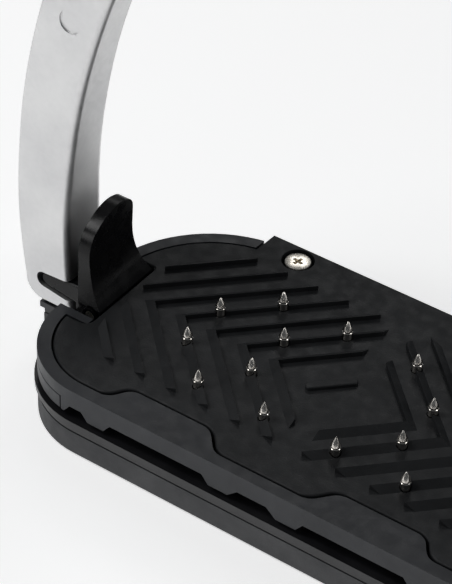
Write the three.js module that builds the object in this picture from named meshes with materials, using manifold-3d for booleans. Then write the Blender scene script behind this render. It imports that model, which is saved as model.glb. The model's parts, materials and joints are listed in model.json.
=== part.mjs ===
// Stirrup iron with a sprung tread and a release branch, in millimetres.
// +X runs along the tread, +Y to the rear, +Z up. The origin is the centre of the base's bottom face.
// The left leg hangs on a hinge in the crown and hooks over a tongue on the base.
// The lever beside it is the trigger. The deck floats on four bumpers above the base.
import * as THREE from 'three';
import { mergeVertices } from 'three/addons/utils/BufferGeometryUtils.js';
import Module from 'manifold-3d';

const wasm = await Module();
wasm.setup();

// ---- Driving dimensions ----
const gap = 0.3;                 // between pieces that touch
const beyond = 300;              // cutting tools reach past everything
const bevelSegments = 3;

// Deck outline, seen from above
const deckHalfLength = 64.4;
const deckFront = 32.5;          // centre line to the front edge
const deckRear = 33.6;           // centre line to the rear edge
const frontCornerRadius = 19.6;
const rearCornerRadius = 29;
const rimWidth = 3.5;
const seamGap = 0.45;            // groove between the pad and the rim
const rearBlockOverlap = 5.6;    // the pad's rear block runs this far into the rear corners
const rearBlockReach = 2.4;

// Heights
const shellHeight = 6.3;
const shellFloor = 1.2;
const shellChamfer = 0.6;
const midPlateHeight = 3.15;
const midStep = 1.5;             // height of the mid plate's wider upper step
const deckTravel = 0.9;
const travelReserve = 0.4;       // left between the mid plate and the deck at full travel
const notchHeight = 2.1;
const plateRise = 1.4;           // deck's teeth to the underside of its plate
const plateThickness = 1.9;
const rimRise = 3.3;             // top of the deck's plate to the rim's top
const padThickness = 3.2;

// Notches along the foot of the deck's long walls: an end, the other end and the slope of both ends
const centreNotch = 3.5;
const centreNotchSlope = 2.3;
const longNotchStart = 12.2;
const longNotchSetback = 29.1;   // deck's end to the long notch
const endNotchSetback = 18.7;
const endNotchLength = 3;
const notchSlope = 1.65;

// Trim set into the deck's end walls
const trimDepth = 2;
const trimSetback = 15.9;        // deck's end to the trim's end

// Tread ribs and studs
const ribPitch = 8;
const ribHeight = 1.2;
const ribWidth = 1.84;
const ribSink = 0.4;             // rib's root inside the pad
const firstRib = 15.7;           // corner of the innermost rib, from the centre
const ribCentreGap = 2.9;        // arms stop short of the centre line
const ribRearSetback = 8.2;
const ribFrontSetback = 12.3;
const ribEndSetback = 4;         // rim's inner line to the arms at the ends
const ribBaySetback = 2.2;       // lever's bay to the arms
const studRibs = [{ rib: 3, back: 1.1 }, { rib: 1, back: 0.7 }];
const studRows = [6.05, 15.75];  // centre line to the studs
const studRadius = 1.14;
const studRise = 4.6;            // tip above the pad
const studCone = 2.3;
const studFloor = 0.8;           // pad left under a stud

// Front rail of the rim, half of it from the centre out
const railShallow = 3.1;         // rim's width at the middle
const railDeep = 8.3;            // and beside it
const railShallowEnd = 10.8;
const railDeepStart = 15.2;
const railDeepSetback = 28.8;    // deck's end to the deep stretch
const railBend = 3.2;
const railRound = 2;             // each bend is eased over this length

// Base
const baseOverhang = 0.7;        // base past the deck's ends and front edge
const baseRearOverhang = 2;
const noseReach = 10.2;          // nose under each leg, past the deck's end
const noseHalf = 6.2;
const baseWall = 3.5;
const midInset = 0.7;            // lower step of the mid plate
const shellInset = 0.6;
const spineHalf = 5;             // solid strip along the middle of the shell

// Arch
const legGap = 2.3;              // deck's end to the leg
const legWidth = 13.7;
const footClearance = 0.3;       // mid plate to the leg's foot
const footRound = 5.5;
const archRise = 62.3;           // mid plate to the centre of the crown's circle
const innerSweep = 177;          // radius of the leg's inner edge
const innerDrop = 41;            // crown's centre down to where the inner edge is vertical
const outerSweep = 170;
const outerDrop = 33;
const archBevel = 1.5;
const footHalfDepth = 6.4;
const waistHalfDepth = 5.6;
const crownHalfDepth = 4.8;
const footTaper = 26;            // length over which the foot narrows to the waist
const crownTaper = 40;
const eyeSlotWidth = 30;
const eyeSlotHeight = 9;
const eyeWeb = 4;                // top of the crown to the slot
const eyeBar = 10;               // bar above the slot
const eyeCheek = 7;              // material beside the slot
const eyeRound = 9;
const eyeFlare = 7;              // neck's spread onto the crown

// Branch hinge
const hingeAngle = 34;           // degrees above the arch's centre
const knuckleRadius = 4.6;
const tangHalf = 2.1;
const hingePinRadius = 2;
const pinHeadRim = 0.9;
const pinHeadHeight = 0.5;

// Hook and tongue
const hookDepth = 8.3;           // slot's depth into the leg
const hookRise = 5.2;            // mid plate's top to the slot's floor at its closed end
const hookHeight = 3.5;
const hookFlare = 1.7;           // how far the floor drops towards the mouth
const hookTopFlare = 0.6;
const hookRound = 1.6;
const tongueTipGap = 0.8;
const tongueSideGap = 0.5;
const latchSetback = 2;          // leg's inner face to the latch block
const latchPost = 2.6;           // thickness of the post that carries the tongue
const postDrop = 0.6;            // slot's top to the post's, under the pressed lever
const shelfHeight = 2.4;

// Lever
const leverBaySetback = 9.3;     // deck's end to the pad's edge behind the lever
const leverBayFront = 11.5;
const leverBayRear = 10.5;
const bayBand = 2.5;             // rim between the bay's front side and the pad
const leverThickness = 3;
const leverSetback = 5;          // deck's end to the lever's inner face
const leverPivotRise = 6.3;      // mid plate's top to the pivot
const leverBarrel = 2.6;
const leverEar = 2;              // latch block's ears: half width and rounding
const leverEarThickness = 2;
const leverSideGap = 0.6;        // ears to the bay's walls
const leverHalf = 7.7;
const leverLength = 22.4;        // pivot to the lever's top
const leverPinRadius = 1.2;
const pinRecess = 0.2;
const springHalf = 2.6;
const springWire = 0.35;
const springTurns = 3.5;

// Fastenings
const lugReach = 14.2;           // how far a lug runs in from the leg's inner face
const lugHalf = 5;
const lugHeight = 3;
const lugRoot = 3;               // lug's end inside the leg
const pocketFloor = 1;
const boltRadius = 2;
const boltHead = 3.4;
const headHeight = 1.9;
const headRim = 0.4;
const boltInset = 3.2;
const boltSpacing = 7;
const boltTipCover = 1;          // lug left above a bolt
const screwRadius = 1.3;
const screwHead = 2.9;
const screwInset = 7.1;          // base's end to the screws
const screwSetback = 17.2;       // base's front edge to the screws
const screwBoss = 1.6;
const screwTipCover = 0.8;
const bumperInset = 28.4;        // deck's end to the bumpers
const bumperFrontSetback = 12.5;
const bumperRearSetback = 13.6;
const bumperRadius = 5.2;
const bumperSink = 1.6;
const shoulderRadius = 1.5;
const shoulderHead = 3;
const shoulderHeadHeight = 1.3;
const padScrewInset = 9.4;       // end of the pad's rear block to the screw
const padScrewSetback = 2.1;
const padScrewHead = 3;
const padScrewRecess = 3.75;

// ---- Heights and places worked out from them ----
const midBottom = shellHeight + gap;
const midTop = midBottom + midPlateHeight;
const deckBottom = midTop + deckTravel + travelReserve;
const plateBottom = deckBottom + plateRise;
const plateTop = plateBottom + plateThickness;
const rimTop = plateTop + rimRise;
const padBottom = plateTop + gap;
const padTop = padBottom + padThickness;
const baseFront = deckFront + baseOverhang;
const baseRear = deckRear + baseRearOverhang;
const baseHalfLength = deckHalfLength + baseOverhang;
const rearBlockHalf = deckHalfLength - rearCornerRadius + rearBlockOverlap;
const ribCount = Math.floor((deckHalfLength - firstRib) / ribPitch) + 1;
const railDeepEnd = deckHalfLength - railDeepSetback;
const railShallowStart = railDeepEnd + railBend;
const legInner = deckHalfLength + legGap;
const legOuter = legInner + legWidth;
const footBottom = midTop + footClearance;
const archCentreHeight = midTop + archRise;
const innerWaist = archCentreHeight - innerDrop;
const outerWaist = archCentreHeight - outerDrop;
const leverBayEdge = deckHalfLength - leverBaySetback;
const leverPivotX = -(leverBayEdge + gap + leverBarrel);
const leverPivotHeight = midTop + leverPivotRise;
const leverTop = leverPivotHeight + leverLength;
const earOut = leverBayRear - leverSideGap;
const earIn = earOut - leverEarThickness;
const leverBarrelHalf = earIn - gap;
const leverFootHalf = earOut - 0.5;
const leverPinHalf = earOut - pinRecess;
const hookFloor = midTop + hookRise;
const hookTop = hookFloor + hookHeight;
const hookEnd = -(legInner + hookDepth);
const hookMouth = -(legInner - legGap);
const tongueHalf = footHalfDepth - tongueSideGap;
const lugBottom = midBottom + pocketFloor + gap;
const boltEnd = lugBottom + lugHeight - boltTipCover;
const screwEnd = midTop - screwTipCover;
const screwX = baseHalfLength - screwInset;
const screwY = baseFront - screwSetback;
const bumperX = deckHalfLength - bumperInset;
const bumperFrontY = -(deckFront - bumperFrontSetback);
const bumperRearY = deckRear - bumperRearSetback;
const padScrewX = rearBlockHalf - padScrewInset;
const padScrewY = deckRear - padScrewSetback;
const padScrewEnd = plateBottom + gap;
const innerCrownRadius = crownRadius(innerSweep, innerSweep - legInner, innerWaist);
const outerCrownRadius = crownRadius(outerSweep, outerSweep - legOuter, outerWaist);
const eyeSlotBase = archCentreHeight + outerCrownRadius + eyeWeb;

// The crown's circle is tangent to the leg's sweep.
function crownRadius(sweep, centreX, waist) {
  return sweep - Math.hypot(centreX, archCentreHeight - waist);
}

// ---- Materials ----
const paint = (color, roughness, metalness) =>
  new THREE.MeshStandardMaterial({ color, roughness, metalness });
const finishes = {
  aluminium: () => paint(0xc9cacb, 0.42, 1),
  blackPolymer: () => paint(0x2a2b2d, 0.62, 0),
  satinBlack: () => paint(0x1b1c1e, 0.38, 0.1),
  greyPolymer: () => paint(0x3c3d40, 0.8, 0),
  steel: () => paint(0xd2cfc6, 0.25, 1),
  rubber: () => paint(0x17171a, 0.9, 0),
};

// ---- Solids ----
function toSolid(geometry) {
  geometry.deleteAttribute('normal');
  geometry.deleteAttribute('uv');
  const merged = mergeVertices(geometry, 1e-4);
  return new wasm.Manifold(new wasm.Mesh({
    numProp: 3,
    vertProperties: new Float32Array(merged.attributes.position.array),
    triVerts: new Uint32Array(merged.index.array),
  }));
}

function toGeometry(solid) {
  const mesh = solid.getMesh();
  const geometry = new THREE.BufferGeometry();
  geometry.setAttribute('position', new THREE.BufferAttribute(mesh.vertProperties, 3));
  geometry.setIndex(new THREE.BufferAttribute(mesh.triVerts, 1));
  geometry.computeVertexNormals();
  return geometry;
}

function box(x0, x1, y0, y1, z0, z1) {
  const geometry = new THREE.BoxGeometry(x1 - x0, y1 - y0, z1 - z0);
  geometry.translate((x0 + x1) / 2, (y0 + y1) / 2, (z0 + z1) / 2);
  return toSolid(geometry);
}

// A turned piece about a vertical axis; profile is a list of [radius, height].
function turned(profile, x, y, segments = 20) {
  const geometry = new THREE.LatheGeometry(profile.map(([r, h]) => new THREE.Vector2(r, h)), segments);
  geometry.rotateX(Math.PI / 2);
  geometry.translate(x, y, 0);
  return toSolid(geometry);
}

function post(x, y, radius, z0, z1, segments = 14) {
  return turned([[0, z0], [radius, z0], [radius, z1], [0, z1]], x, y, segments);
}

// A cylinder along Y.
function rod(x, z, radius, y0, y1, segments = 24) {
  const geometry = new THREE.CylinderGeometry(radius, radius, y1 - y0, segments);
  geometry.translate(x, (y0 + y1) / 2, z);
  return toSolid(geometry);
}

// An outline in X and Y, raised from z0 to z1.
function raised(shape, z0, z1, curveSegments = 9) {
  const geometry = new THREE.ExtrudeGeometry(shape, { depth: z1 - z0, bevelEnabled: false, curveSegments });
  geometry.translate(0, 0, z0);
  return toSolid(geometry);
}

// An outline in X and Z, centred on y = 0, as a geometry.
function upright(shape, halfDepth, bevel, curveSegments = 12) {
  const geometry = new THREE.ExtrudeGeometry(shape, {
    depth: 2 * (halfDepth - bevel),
    bevelEnabled: bevel > 0,
    bevelThickness: bevel,
    bevelSize: bevel,
    bevelOffset: -bevel,
    bevelSegments,
    curveSegments,
  });
  geometry.translate(0, 0, -(halfDepth - bevel));
  geometry.rotateX(Math.PI / 2);
  return geometry;
}

function polygon(points) {
  return new THREE.Shape(points.map(([x, y]) => new THREE.Vector2(x, y)));
}

// ---- Outlines seen from above ----
// A long plate with its own corner radii at the front and rear, moved inwards by inset.
function plateOutline(half, front, rear, frontRadius, rearRadius, inset = 0) {
  const h = half - inset;
  const f = -front + inset;
  const b = rear - inset;
  const rf = frontRadius - inset;
  const rb = rearRadius - inset;
  const shape = new THREE.Shape();
  shape.absarc(h - rf, f + rf, rf, -Math.PI / 2, 0, false);
  shape.absarc(h - rb, b - rb, rb, 0, Math.PI / 2, false);
  shape.absarc(rb - h, b - rb, rb, Math.PI / 2, Math.PI, false);
  shape.absarc(rf - h, f + rf, rf, Math.PI, Math.PI * 1.5, false);
  shape.closePath();
  return shape;
}

const deckOutline = (inset) =>
  plateOutline(deckHalfLength, deckFront, deckRear, frontCornerRadius, rearCornerRadius, inset);

function baseSlab(inset, z0, z1) {
  const frontRadius = frontCornerRadius + baseOverhang;
  const rearRadius = rearCornerRadius + baseOverhang;
  const outline = plateOutline(baseHalfLength, baseFront, baseRear, frontRadius, rearRadius, inset);
  const reach = deckHalfLength + noseReach - inset;
  const half = noseHalf - inset;
  return raised(outline, z0, z1).add(box(-reach, reach, -half, half, z0, z1));
}

// The pad's own outline: the rim's inner line, with a stepped front edge. grow moves it outwards.
function padOutline(grow) {
  const inset = rimWidth - grow;
  const h = deckHalfLength - inset;
  const rf = frontCornerRadius - inset;
  const rb = rearCornerRadius - inset;
  const shallow = -deckFront + railShallow - grow;
  const deep = -deckFront + railDeep - grow;
  const blockEnd = rearBlockHalf + grow;
  const blockAngle = Math.acos((blockEnd + gap - (h - rb)) / rb);
  const bends = [
    [railShallowEnd + grow, shallow],
    [railDeepStart + grow, deep],
    [railDeepEnd - grow, deep],
    [railShallowStart - grow, -deckFront + inset],
  ];
  const left = bends.map(([x, y]) => [-x, y]).reverse();
  const shape = new THREE.Shape();
  shape.absarc(h - rf, -deckFront + inset + rf, rf, -Math.PI / 2, 0, false);
  shape.absarc(h - rb, deckRear - inset - rb, rb, 0, blockAngle, false);
  shape.lineTo(blockEnd, deckRear + rearBlockReach + grow);
  shape.lineTo(-blockEnd, deckRear + rearBlockReach + grow);
  shape.absarc(rb - h, deckRear - inset - rb, rb, Math.PI - blockAngle, Math.PI, false);
  shape.absarc(rf - h, -deckFront + inset + rf, rf, Math.PI, Math.PI * 1.5, false);
  easedBends(shape, [[rf - h, -deckFront + inset], ...left, ...bends, [h - rf, -deckFront + inset]]);
  shape.closePath();
  return shape;
}

// A run of straight stretches whose inner corners are eased by curves.
function easedBends(shape, points) {
  for (let i = 1; i < points.length - 1; i += 1) {
    const corner = new THREE.Vector2(...points[i]);
    const before = stepTowards(corner, points[i - 1]);
    const after = stepTowards(corner, points[i + 1]);
    shape.lineTo(before.x, before.y);
    shape.quadraticCurveTo(corner.x, corner.y, after.x, after.y);
  }
}

function stepTowards(corner, [x, y]) {
  return new THREE.Vector2(x, y).sub(corner).setLength(railRound).add(corner);
}

const leverBay = () => box(-beyond, -leverBayEdge, -leverBayFront, leverBayRear, 0, beyond);
// The pad stops short of the bay's front side, where the rim carries on around it.
const padBay = (clear) =>
  box(-beyond, clear - leverBayEdge, -leverBayFront - bayBand - clear, leverBayRear + clear, 0, beyond);

// ---- Deck ----
function deckBlank() {
  const top = rimTop;
  const rear = box(-rearBlockHalf, rearBlockHalf, 0, deckRear + rearBlockReach, deckBottom, plateTop);
  let blank = raised(deckOutline(0), deckBottom, top).add(rear);
  blank = blank.subtract(raised(padOutline(seamGap), plateTop, top + 1).subtract(padBay(-seamGap)));
  blank = blank.subtract(raised(deckOutline(rimWidth - gap), deckBottom - 1, plateBottom));
  sideNotches().forEach((notch) => { blank = blank.subtract(notch); });
  return blank.subtract(leverBay());
}

// Trapezoid notches along the foot of the front and rear walls, and one over the right leg's lug.
function sideNotches() {
  const spans = [[-centreNotch, centreNotch, centreNotchSlope]];
  const long = [longNotchStart, deckHalfLength - longNotchSetback];
  const end = [deckHalfLength - endNotchSetback - endNotchLength, deckHalfLength - endNotchSetback];
  [long, end].forEach(([from, to]) => {
    spans.push([from, to, notchSlope], [-to, -from, notchSlope]);
  });
  const inside = box(-beyond, beyond, -deckFront + rimWidth, deckFront - rimWidth, 0, beyond);
  const notches = spans.map(([from, to, slope]) => {
    const top = deckBottom + notchHeight;
    const low = deckBottom - notchHeight;
    const shape = polygon([[from - 2 * slope, low], [to + 2 * slope, low], [to, top], [from, top]]);
    return toSolid(upright(shape, deckFront + deckRear, 0)).subtract(inside);
  });
  const lugSide = lugHalf + 1;
  notches.push(box(deckHalfLength - rimWidth - 1, beyond, -lugSide, lugSide, 0, plateBottom));
  return notches;
}

// Where the trim sits: the outer skin of the end walls, up to the deck's plate.
function trimRegion(side, clear) {
  const from = deckHalfLength - trimSetback - clear;
  const xs = side > 0 ? [from, beyond] : [-beyond, -from];
  const region = box(xs[0], xs[1], -beyond, beyond, 0, plateTop + clear);
  return region.subtract(raised(deckOutline(trimDepth + clear), 0, beyond));
}

function deckParts() {
  const blank = deckBlank();
  let frame = blank.subtract(trimRegion(1, gap)).subtract(trimRegion(-1, gap));
  const seats = [];
  eachBumper((x, y) => seats.push(post(x, y, shoulderRadius + gap, 0, plateTop - gap, 16)));
  [1, -1].forEach((side) => {
    seats.push(post(side * padScrewX, padScrewY, screwRadius + gap, padScrewEnd, beyond, 16));
  });
  seats.forEach((seat) => { frame = frame.subtract(seat); });
  const leftTrim = blank.intersect(trimRegion(-1, 0));
  return {
    frame: largest(frame),
    rightCap: largest(blank.intersect(trimRegion(1, 0))),
    frontLeftCap: largest(leftTrim.intersect(box(-beyond, 0, -beyond, 0, 0, beyond))),
    rearLeftCap: largest(leftTrim.intersect(box(-beyond, 0, 0, beyond, 0, beyond))),
  };
}

// A cut can leave slivers: keep the biggest body.
function largest(solid) {
  const bodies = solid.decompose();
  return bodies.reduce((best, body) => (body.volume() > best.volume() ? body : best));
}

function eachBumper(visit) {
  [bumperFrontY, bumperRearY].forEach((y) => [-bumperX, bumperX].forEach((x) => visit(x, y)));
}

function eachCorner(x, y, visit) {
  [[-1, -1], [1, -1], [-1, 1], [1, 1]].forEach(([sx, sy]) => visit(sx * x, sy * y));
}

// One arm of a chevron rib: a wedge with its steep face towards the centre.
function ribArm(corner, side, half, outerLimit) {
  const length = 4 * deckHalfLength;
  const wedge = polygon([[0, -ribSink], [ribWidth, -ribSink], [ribWidth, 0], [0, ribHeight]]);
  const geometry = new THREE.ExtrudeGeometry(wedge, { depth: length, bevelEnabled: false });
  geometry.translate(0, 0, -length / 2);
  const outwards = new THREE.Vector3(side, half, 0).normalize();
  const up = new THREE.Vector3(0, 0, 1);
  const along = outwards.clone().cross(up);
  geometry.applyMatrix4(new THREE.Matrix4().makeBasis(outwards, up, along));
  geometry.translate(side * corner, 0, padTop);
  const end = half > 0 ? deckRear - ribRearSetback : deckFront - ribFrontSetback;
  const xs = side > 0 ? [ribCentreGap, outerLimit] : [-outerLimit, -ribCentreGap];
  const ys = half > 0 ? [-0.01, end] : [-end, 0.01];
  return toSolid(geometry).intersect(box(xs[0], xs[1], ys[0], ys[1], 0, beyond));
}

function treadPad() {
  let pad = raised(padOutline(0), padBottom, padTop);
  const leverLimit = leverBayEdge - ribBaySetback;
  const endLimit = deckHalfLength - rimWidth - ribEndSetback;
  for (let i = 0; i < ribCount; i += 1) {
    const corner = firstRib + i * ribPitch;
    [1, -1].forEach((side) => {
      [1, -1].forEach((half) => {
        pad = pad.add(ribArm(corner, side, half, side < 0 ? leverLimit : endLimit));
      });
    });
  }
  pad = pad.subtract(padBay(0));
  studPlaces().forEach(([x, y]) => {
    pad = pad.subtract(post(x, y, studRadius + gap, padBottom + studFloor - gap, beyond, 12));
  });
  [1, -1].forEach((side) => {
    const seat = padTop - gap - headHeight - gap;
    pad = pad.subtract(post(side * padScrewX, padScrewY, padScrewRecess, seat, beyond, 20));
    pad = pad.subtract(post(side * padScrewX, padScrewY, screwRadius + gap, 0, beyond, 16));
  });
  return pad;
}

// Four studs in each quarter, on the ribs.
function studPlaces() {
  const places = [];
  studRibs.forEach(({ rib, back }) => {
    studRows.forEach((y) => {
      eachCorner(firstRib + rib * ribPitch + back - y, y, (px, py) => places.push([px, py]));
    });
  });
  return places;
}

function stud(x, y) {
  const foot = padBottom + studFloor;
  const tip = padTop + studRise;
  const shoulder = tip - studCone;
  return turned([[0, foot], [studRadius, foot], [studRadius, shoulder], [0, tip]], x, y, 12);
}

// A countersunk screw standing on its head (sign 1) or hanging from it (sign -1).
function countersunk(x, y, headZ, headRadius, radius, length, sign) {
  const head = [[0, 0], [headRadius, 0], [headRadius, headRim], [radius, headHeight]];
  const points = [...head, [radius, length], [0, length]];
  const profile = points.map(([r, h]) => [r, headZ + sign * h]);
  return turned(sign > 0 ? profile : profile.reverse(), x, y, 16);
}

function countersinkHole(x, y, headRadius, radius, length) {
  const wide = headRadius + gap;
  const bore = radius + gap;
  const seat = headHeight + gap;
  const points = [[0, -1], [wide, -1], [wide, headRim + gap], [bore, seat], [bore, length], [0, length]];
  return turned(points, x, y, 16);
}

// ---- Base ----
const boltPlaces = (side) => [0, 1].map((i) => [side * (legInner - boltInset - i * boltSpacing), 0]);

function baseShell() {
  const foot = baseSlab(shellInset + shellChamfer, 0, shellChamfer + 0.01);
  let shell = foot.add(baseSlab(shellInset, shellChamfer, shellHeight));
  let hollow = baseSlab(shellInset + baseWall, shellFloor, shellHeight + 1);
  eachCorner(screwX, screwY, (x, y) => {
    hollow = hollow.subtract(post(x, y, screwHead + screwBoss, 0, midTop));
  });
  [1, -1].forEach((side) => {
    const inner = legInner - lugReach - baseWall;
    const xs = side > 0 ? [inner, beyond] : [-beyond, -inner];
    hollow = hollow.subtract(box(xs[0], xs[1], -lugHalf, lugHalf, 0, midTop));
  });
  const spineEnd = bumperX - bumperRadius - baseWall;
  const spine = box(-spineEnd, spineEnd, -spineHalf, spineHalf, 0, midTop);
  shell = shell.subtract(hollow.subtract(spine));
  return drillBase(shell);
}

// Holes for the screws and bolts that come up from below.
function drillBase(solid) {
  let drilled = solid;
  eachCorner(screwX, screwY, (x, y) => {
    drilled = drilled.subtract(countersinkHole(x, y, screwHead, screwRadius, screwEnd + gap));
  });
  [1, -1].forEach((side) => {
    boltPlaces(side).forEach(([x, y]) => {
      drilled = drilled.subtract(countersinkHole(x, y, boltHead, boltRadius, boltEnd + gap));
    });
  });
  return drilled;
}

function midPlate() {
  const stepZ = midTop - midStep;
  let plate = baseSlab(midInset, midBottom, stepZ).add(baseSlab(0, stepZ, midTop));
  [1, -1].forEach((side) => {
    const inner = legInner - lugReach - gap;
    const outer = side > 0 ? legInner + lugRoot + gap : legInner - latchSetback + gap;
    const xs = side > 0 ? [inner, outer] : [-outer, -inner];
    const pocket = box(xs[0], xs[1], -lugHalf - gap, lugHalf + gap, midBottom + pocketFloor, beyond);
    plate = plate.subtract(pocket);
  });
  eachBumper((x, y) => {
    plate = plate.subtract(post(x, y, bumperRadius + gap, midTop - bumperSink, beyond));
    plate = plate.subtract(post(x, y, shoulderRadius + gap, 0, beyond, 16));
  });
  return drillBase(plate);
}

function bumper(x, y) {
  const z0 = midTop - bumperSink + gap;
  const z1 = plateBottom - gap;
  return post(x, y, bumperRadius, z0, z1, 20).subtract(post(x, y, shoulderRadius + gap, z0 - 1, z1 + 1, 16));
}

function shoulderScrew(x, y) {
  const top = midBottom - gap;
  const low = top - shoulderHeadHeight;
  const end = plateTop - 2 * gap;
  const head = [[0, low], [shoulderHead, low], [shoulderHead, top], [shoulderRadius, top]];
  return turned([...head, [shoulderRadius, end], [0, end]], x, y, 16);
}

// ---- Arch ----
// A point on the crown's circle; angle in degrees from +X.
const onCrown = (radius, angle) => {
  const a = THREE.MathUtils.degToRad(angle);
  return [radius * Math.cos(a), archCentreHeight + radius * Math.sin(a)];
};

function archOutline() {
  const innerCentre = [innerSweep - legInner, innerWaist];
  const outerCentre = [outerSweep - legOuter, outerWaist];
  const innerTangent = Math.atan2(archCentreHeight - innerWaist, innerCentre[0]);
  const outerTangent = Math.atan2(archCentreHeight - outerWaist, outerCentre[0]);
  const innerFoot = Math.asin((footBottom - innerWaist) / innerSweep);
  const outerFoot = Math.asin((footBottom + footRound - outerWaist) / outerSweep);
  const outerFootX = outerSweep * Math.cos(outerFoot) - outerCentre[0];
  const neckHalf = eyeSlotWidth / 2 + eyeCheek;
  const neckAngle = Math.acos((neckHalf + eyeFlare) / outerCrownRadius);
  const eyeTop = eyeSlotBase + eyeSlotHeight + eyeBar;
  const shape = new THREE.Shape();
  // Right leg, up the outside
  shape.moveTo(outerFootX - footRound + 1, footBottom);
  shape.quadraticCurveTo(outerFootX, footBottom, outerFootX, footBottom + footRound);
  shape.absarc(-outerCentre[0], outerCentre[1], outerSweep, outerFoot, outerTangent, false);
  shape.absarc(0, archCentreHeight, outerCrownRadius, outerTangent, neckAngle, false);
  // Eye for the leather
  const [neckX, neckZ] = onCrown(outerCrownRadius, THREE.MathUtils.radToDeg(neckAngle));
  const flareZ = (neckZ + eyeSlotBase) / 2;
  shape.quadraticCurveTo(neckHalf, flareZ, neckHalf, eyeSlotBase);
  shape.lineTo(neckHalf, eyeTop - eyeRound);
  shape.quadraticCurveTo(neckHalf, eyeTop, neckHalf - eyeRound, eyeTop);
  shape.lineTo(eyeRound - neckHalf, eyeTop);
  shape.quadraticCurveTo(-neckHalf, eyeTop, -neckHalf, eyeTop - eyeRound);
  shape.lineTo(-neckHalf, eyeSlotBase);
  shape.quadraticCurveTo(-neckHalf, flareZ, -neckX, neckZ);
  // Left leg, down the outside and up the inside
  shape.absarc(0, archCentreHeight, outerCrownRadius, Math.PI - neckAngle, Math.PI - outerTangent, false);
  const [leftX, leftZ] = outerCentre;
  shape.absarc(leftX, leftZ, outerSweep, Math.PI - outerTangent, Math.PI - outerFoot, false);
  shape.quadraticCurveTo(-outerFootX, footBottom, footRound - 1 - outerFootX, footBottom);
  shape.absarc(innerCentre[0], innerCentre[1], innerSweep, Math.PI - innerFoot, Math.PI - innerTangent, true);
  shape.absarc(0, archCentreHeight, innerCrownRadius, Math.PI - innerTangent, innerTangent, true);
  shape.absarc(-innerCentre[0], innerCentre[1], innerSweep, innerTangent, innerFoot, true);
  shape.closePath();
  shape.holes.push(eyeSlot());
  return shape;
}

function eyeSlot() {
  const w = eyeSlotWidth / 2;
  const r = eyeSlotHeight / 2;
  const z = eyeSlotBase + r;
  const slot = new THREE.Path();
  slot.absarc(w - r, z, r, -Math.PI / 2, Math.PI / 2, false);
  slot.absarc(r - w, z, r, Math.PI / 2, Math.PI * 1.5, false);
  slot.closePath();
  return slot;
}

// Half the leg's depth from front to rear, by height.
function archHalfDepth(z) {
  const { smoothstep, lerp } = THREE.MathUtils;
  const lower = lerp(footHalfDepth, waistHalfDepth, smoothstep(z, innerWaist, innerWaist + footTaper));
  const crownTaperTop = archCentreHeight + crownTaper / 2;
  return lerp(lower, crownHalfDepth, smoothstep(z, crownTaperTop - crownTaper, crownTaperTop));
}

function archBlank() {
  const geometry = upright(archOutline(), crownHalfDepth, archBevel, 14);
  const position = geometry.attributes.position;
  for (let i = 0; i < position.count; i += 1) {
    position.setY(i, position.getY(i) * archHalfDepth(position.getZ(i)) / crownHalfDepth);
  }
  return toSolid(geometry);
}

const hinge = (() => {
  const [x, z] = onCrown(outerCrownRadius - knuckleRadius, 180 - hingeAngle);
  return { x, z, angle: THREE.MathUtils.degToRad(180 - hingeAngle) };
})();

// A block set square to the arch at the hinge: t runs outwards and s up the arch.
function hingeBlock(t0, t1, s0, s1, halfDepth) {
  const geometry = new THREE.BoxGeometry(t1 - t0, 2 * halfDepth, s1 - s0);
  geometry.translate((t0 + t1) / 2, 0, -(s0 + s1) / 2);
  const outwards = new THREE.Vector3(Math.cos(hinge.angle), 0, Math.sin(hinge.angle));
  const rearwards = new THREE.Vector3(0, 1, 0);
  const down = outwards.clone().cross(rearwards);
  geometry.applyMatrix4(new THREE.Matrix4().makeBasis(outwards, rearwards, down));
  geometry.translate(hinge.x, 0, hinge.z);
  return toSolid(geometry);
}

// The left leg's side of the arch, below the cut at the hinge.
function leftOf(cut) {
  const deep = 2 * footHalfDepth;
  const top = hinge.z + deep;
  const side = box(-beyond, -legInner / 3, -deep, deep, 0, top);
  return hingeBlock(-beyond, beyond, -beyond, cut, deep).intersect(side);
}

const hingeDisc = (radius, y0, y1) => rod(hinge.x, hinge.z, radius, y0, y1, 32);

function releaseBranch() {
  const cut = knuckleRadius + gap;
  const deep = 2 * footHalfDepth;
  const blank = archBlank();
  let branch = blank.intersect(leftOf(-gap / 2));
  branch = branch.subtract(hingeDisc(cut, -deep, deep));
  branch = branch.subtract(hingeBlock(0, deep, -cut, cut, deep));
  const neckTop = knuckleRadius - 2 * gap;
  const neck = hingeBlock(-knuckleRadius, neckTop, -1.5 * cut, 0, tangHalf).intersect(blank);
  branch = branch.add(neck).add(hingeDisc(knuckleRadius, -tangHalf, tangHalf));
  branch = branch.subtract(hingeDisc(hingePinRadius + gap, -deep, deep));
  return largest(branch.subtract(hookSlot()));
}

// How far the hook's slot has widened downwards or upwards at a place along it.
const hookWidened = (x, most) => most * THREE.MathUtils.clamp((x - hookEnd) / (hookMouth - hookEnd), 0, 1);

// The slot that hooks over the tongue, open towards the tread.
function hookSlot() {
  const start = hookEnd + hookRound;
  const shape = new THREE.Shape();
  shape.moveTo(hookMouth, hookFloor - hookFlare);
  shape.lineTo(hookMouth, hookTop + hookTopFlare);
  shape.lineTo(start, hookTop + hookWidened(start, hookTopFlare));
  shape.quadraticCurveTo(hookEnd, hookTop, hookEnd, (hookFloor + hookTop) / 2);
  shape.quadraticCurveTo(hookEnd, hookFloor, start, hookFloor - hookWidened(start, hookFlare));
  shape.closePath();
  return toSolid(upright(shape, 2 * footHalfDepth, 0));
}

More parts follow.
